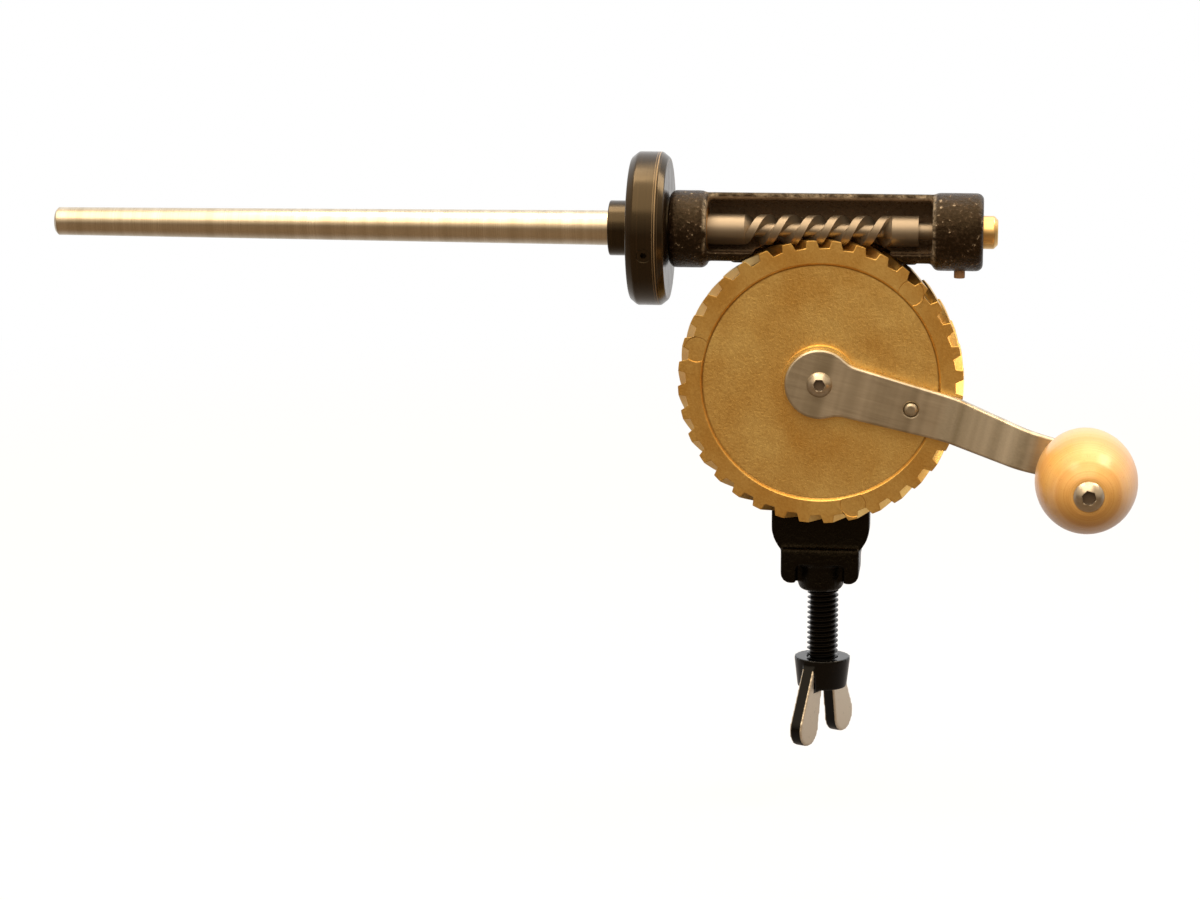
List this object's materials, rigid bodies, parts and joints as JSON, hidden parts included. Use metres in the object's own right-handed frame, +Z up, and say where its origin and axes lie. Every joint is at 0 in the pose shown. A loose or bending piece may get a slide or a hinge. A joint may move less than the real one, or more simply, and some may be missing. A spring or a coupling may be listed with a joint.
{
  "type": "bobbin winder",
  "caption": "Hand-cranked bobbin winder: brass worm wheel drives a worm on a long tapered spindle, in a cast frame that clamps to a table edge.",
  "frame": {"origin": "on the upper clamp jaw's flat face, on the axis of the clamp screw", "axes": "+Z up, out of the table; the spindle points along -X; the crank and knob face -Y"},
  "size_m": [0.3192, 0.1214, 0.1824],
  "materials": {
    "black_casting": "black enamel over sand-cast iron",
    "black_steel": "blackened, satin",
    "bright_steel": "turned bright",
    "satin_steel": "satin",
    "rusty_steel": "rusted",
    "wheel_brass": "cast, satin",
    "bush_bronze": "bored",
    "beech": "turned and lacquered"
  },
  "bodies": {
    "frame": {"frame_casting": "black_casting", "spindle_bush": "bush_bronze", "axle_bush_front": "bush_bronze", "axle_bush_rear": "bush_bronze", "end_bearing_plug": "bush_bronze", "plug_set_screw": "rusty_steel"},
    "crank": {"worm_wheel": "wheel_brass", "crank_axle": "bright_steel", "wheel_washer": "bright_steel", "axle_end_washer": "bright_steel", "axle_ring": "black_steel", "hub_screw": "satin_steel", "drive_pin": "satin_steel", "crank_arm": "satin_steel", "knob_screw": "bright_steel", "knob_lock_nut": "bright_steel", "knob_washer": "bright_steel"},
    "knob": {"knob": "beech"},
    "spindle": {"spindle": "bright_steel", "drive_flange": "black_steel", "flange_set_screw": "black_steel", "thrust_washer": "bright_steel"},
    "clamp_pad": {"clamp_pad": "black_steel"},
    "clamp_screw": {"clamp_screw": "black_steel", "wing_head": "black_casting"}
  },
  "joints": [
    {"name": "crank_turn", "type": "hinge", "parent": "frame", "child": "crank", "pos_m": [0, -0.0293, 0.01], "axis": [0, 1, 0], "continuous": true},
    {"name": "spindle_spin", "type": "hinge", "parent": "frame", "child": "spindle", "pos_m": [0, -0.0293, 0.05409], "axis": [1, 0, 0], "continuous": true},
    {"name": "knob_spin", "type": "hinge", "parent": "crank", "child": "knob", "pos_m": [0.07607, -0.08, -0.00939], "axis": [0, 1, 0], "continuous": true},
    {"name": "clamp_travel", "type": "slide", "parent": "frame", "child": "clamp_pad", "axis": [0, 0, 1], "range_m": [-0.0155, 0.0195]},
    {"name": "clamp_screw_turn", "type": "hinge", "parent": "clamp_pad", "child": "clamp_screw", "pos_m": [0, 0, -0.05], "axis": [0, 0, 1], "range_deg": [-3570, 4480]}
  ],
  "couplings": [
    {"joint": "spindle_spin", "follows": "crank_turn", "ratio": 18},
    {"joint": "clamp_screw_turn", "follows": "clamp_travel", "rad_per_m": 3957.9}
  ]
}
